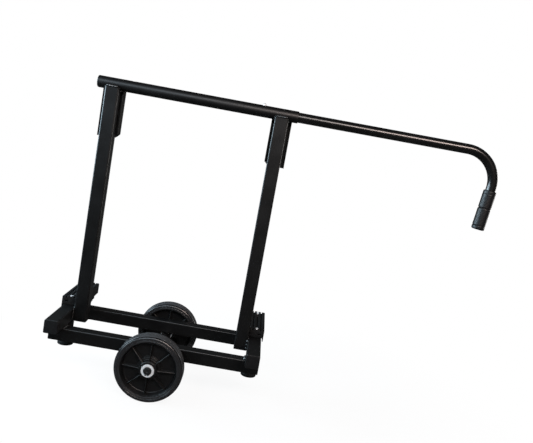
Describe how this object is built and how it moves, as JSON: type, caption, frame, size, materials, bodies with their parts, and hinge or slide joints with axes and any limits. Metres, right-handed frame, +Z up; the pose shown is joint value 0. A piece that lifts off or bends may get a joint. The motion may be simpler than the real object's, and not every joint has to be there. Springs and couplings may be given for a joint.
{
  "type": "stage deck transport cart",
  "caption": "Two-wheeled transport cart for stage decks: box-tube base, tall upright frame, ribbed rubber pads and a telescoping handle bent down to a grip.",
  "frame": {"origin": "on the ground under the middle of the cart's length and width, with the handle pulled out", "axes": "+X along the cart to the handle, -Y to the near wheel, +Z up from the ground to the top tube"},
  "size_m": [1.2358, 0.3974, 0.9045],
  "materials": {
    "powder_coat": "satin",
    "rubber": "matte",
    "tyre": "matte",
    "plastic": "satin",
    "zinc": "satin"
  },
  "bodies": {
    "frame": {"rail_near": "powder_coat", "rail_far": "powder_coat", "cross_tube_left": "powder_coat", "cross_tube_right": "powder_coat", "upright_left": "powder_coat", "upright_right": "powder_coat", "top_tube": "powder_coat", "leg_left": "powder_coat", "leg_right": "powder_coat", "axle_tube": "powder_coat", "axle": "powder_coat", "retaining_ring_near": "powder_coat", "retaining_ring_far": "powder_coat", "rail_cap_near_left": "plastic", "cross_cap_left_near": "plastic", "rail_cap_near_right": "plastic", "cross_cap_right_near": "plastic", "rail_cap_far_left": "plastic", "cross_cap_left_far": "plastic", "rail_cap_far_right": "plastic", "cross_cap_right_far": "plastic", "top_tube_plug": "plastic", "foot_left": "rubber", "base_pad_left": "rubber", "top_pad_left": "rubber", "base_screw_left_near": "zinc", "base_screw_left_far": "zinc", "top_screw_left_upper": "zinc", "top_screw_left_lower": "zinc", "foot_right": "rubber", "base_pad_right": "rubber", "top_pad_right": "rubber", "base_screw_right_near": "zinc", "base_screw_right_far": "zinc", "top_screw_right_upper": "zinc", "top_screw_right_lower": "zinc", "washer_near_inner": "zinc", "washer_near_outer": "zinc", "washer_far_inner": "zinc", "washer_far_outer": "zinc"},
    "wheel_near": {"rim_near": "plastic", "tyre_near": "tyre", "hub_bush_near": "zinc"},
    "wheel_far": {"rim_far": "plastic", "tyre_far": "tyre", "hub_bush_far": "zinc"},
    "handle": {"handle_tube": "powder_coat", "handle_grip": "rubber", "clip_spring": "zinc"},
    "button": {"snap_button": "zinc"}
  },
  "joints": [
    {"name": "wheel_near_spin", "type": "hinge", "parent": "frame", "child": "wheel_near", "pos_m": [-0.30315, -0.165, 0.1], "axis": [0, 1, 0], "continuous": true},
    {"name": "wheel_far_spin", "type": "hinge", "parent": "frame", "child": "wheel_far", "pos_m": [-0.30315, 0.165, 0.1], "axis": [0, 1, 0], "continuous": true},
    {"name": "handle_slide", "type": "slide", "parent": "frame", "child": "handle", "axis": [1, 0, 0], "range_m": [-0.386, 0], "deforming": ["snap_button"]},
    {"name": "button_press", "type": "slide", "parent": "handle", "child": "button", "axis": [0, 0, -1], "range_m": [0, 0.0065], "stiffness_N_per_m": 1200, "deforming": ["clip_spring"]}
  ]
}
